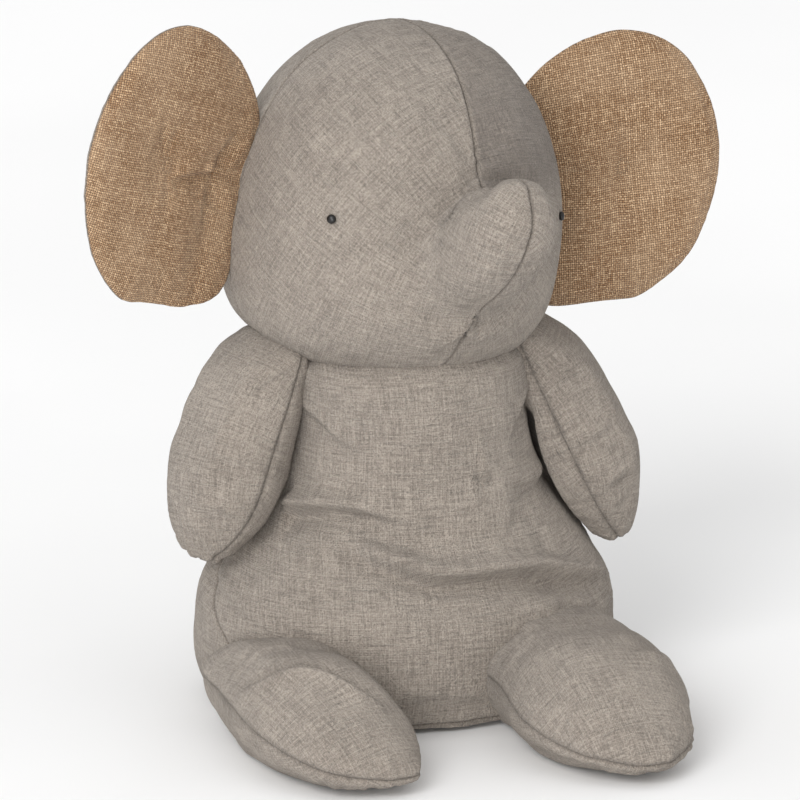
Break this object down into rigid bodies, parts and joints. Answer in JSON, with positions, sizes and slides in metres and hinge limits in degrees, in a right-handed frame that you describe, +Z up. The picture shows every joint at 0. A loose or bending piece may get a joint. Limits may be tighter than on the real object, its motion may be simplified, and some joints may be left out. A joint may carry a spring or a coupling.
{
  "type": "stuffed elephant toy",
  "caption": "Seated stuffed elephant sewn from grey linen, with tan woven ears, a curled trunk and soft sprung limbs.",
  "frame": {"origin": "middle of the flat seat, on the surface that the toy sits on", "axes": "+Z up along the torso, -Y the way the toy faces, +X towards its own left side"},
  "size_m": [0.346, 0.2769, 0.3428],
  "materials": {
    "grey_linen": "matte warm grey washed linen, plain weave with slubs",
    "tan_weave": "matte coarse tan and brown plain weave",
    "white_fibre": "white polyester fibre filling",
    "pellet_cloth": "plain inner bag of weighting pellets",
    "black_bead": "glossy black bead"
  },
  "bodies": {
    "torso": {"torso_front": "grey_linen", "torso_back_right": "grey_linen", "torso_back_left": "grey_linen", "seat_panel": "grey_linen", "torso_stuffing": "white_fibre", "pellet_bag": "pellet_cloth"},
    "head": {"head_front_right": "grey_linen", "head_front_left": "grey_linen", "head_back_right": "grey_linen", "head_back_left": "grey_linen", "head_stuffing": "white_fibre", "eye_right": "black_bead", "eye_left": "black_bead"},
    "trunk": {"trunk_right": "grey_linen", "trunk_left": "grey_linen", "trunk_stuffing": "white_fibre"},
    "ear_right": {"ear_right_front": "tan_weave", "ear_right_wadding": "white_fibre", "ear_right_back": "grey_linen"},
    "ear_left": {"ear_left_front": "tan_weave", "ear_left_wadding": "white_fibre", "ear_left_back": "grey_linen"},
    "arm_right": {"arm_right_outer": "grey_linen", "arm_right_inner": "grey_linen", "arm_right_stuffing": "white_fibre"},
    "arm_left": {"arm_left_outer": "grey_linen", "arm_left_inner": "grey_linen", "arm_left_stuffing": "white_fibre"},
    "leg_right": {"leg_right_top": "grey_linen", "leg_right_sole": "grey_linen", "leg_right_stuffing": "white_fibre"},
    "leg_left": {"leg_left_top": "grey_linen", "leg_left_sole": "grey_linen", "leg_left_stuffing": "white_fibre"},
    "tail": {"tail": "grey_linen"}
  },
  "joints": [
    {"name": "head_turn", "type": "hinge", "parent": "torso", "child": "head", "pos_m": [0, 0, 0.1686], "axis": [0, 0, 1], "range_deg": [-25, 25], "stiffness_Nm_per_rad": 0.3},
    {"name": "trunk_pull", "type": "hinge", "parent": "head", "child": "trunk", "pos_m": [0.00634, -0.04581, 0.21326], "axis": [0.9709, 0.2064, -0.1219], "range_deg": [-5, 30], "stiffness_Nm_per_rad": 0.25},
    {"name": "ear_right_flap", "type": "hinge", "parent": "head", "child": "ear_right", "pos_m": [-0.08119, 0.00689, 0.25669], "axis": [0.3079, 0.1024, 0.9459], "range_deg": [-35, 15], "stiffness_Nm_per_rad": 0.12},
    {"name": "ear_left_flap", "type": "hinge", "parent": "head", "child": "ear_left", "pos_m": [0.07298, 0.03966, 0.23733], "axis": [0.0897, -0.0178, -0.9958], "range_deg": [-35, 15], "stiffness_Nm_per_rad": 0.12},
    {"name": "arm_right_raise", "type": "hinge", "parent": "torso", "child": "arm_right", "pos_m": [-0.0615, 0.002, 0.159], "axis": [0, 1, 0], "range_deg": [0, 50], "stiffness_Nm_per_rad": 0.12},
    {"name": "arm_left_raise", "type": "hinge", "parent": "torso", "child": "arm_left", "pos_m": [0.0615, 0.002, 0.159], "axis": [0, -1, 0], "range_deg": [0, 50], "stiffness_Nm_per_rad": 0.12},
    {"name": "leg_right_lift", "type": "hinge", "parent": "torso", "child": "leg_right", "pos_m": [-0.076, -0.06, 0.045], "axis": [-1, 0, 0], "range_deg": [0, 45], "stiffness_Nm_per_rad": 0.3},
    {"name": "leg_left_lift", "type": "hinge", "parent": "torso", "child": "leg_left", "pos_m": [0.052, -0.06, 0.045], "axis": [-1, 0, 0], "range_deg": [0, 45], "stiffness_Nm_per_rad": 0.3},
    {"name": "tail_lift", "type": "hinge", "parent": "torso", "child": "tail", "pos_m": [0, 0.07903, 0.062], "axis": [1, 0, 0], "range_deg": [0, 60], "stiffness_Nm_per_rad": 0.01}
  ]
}
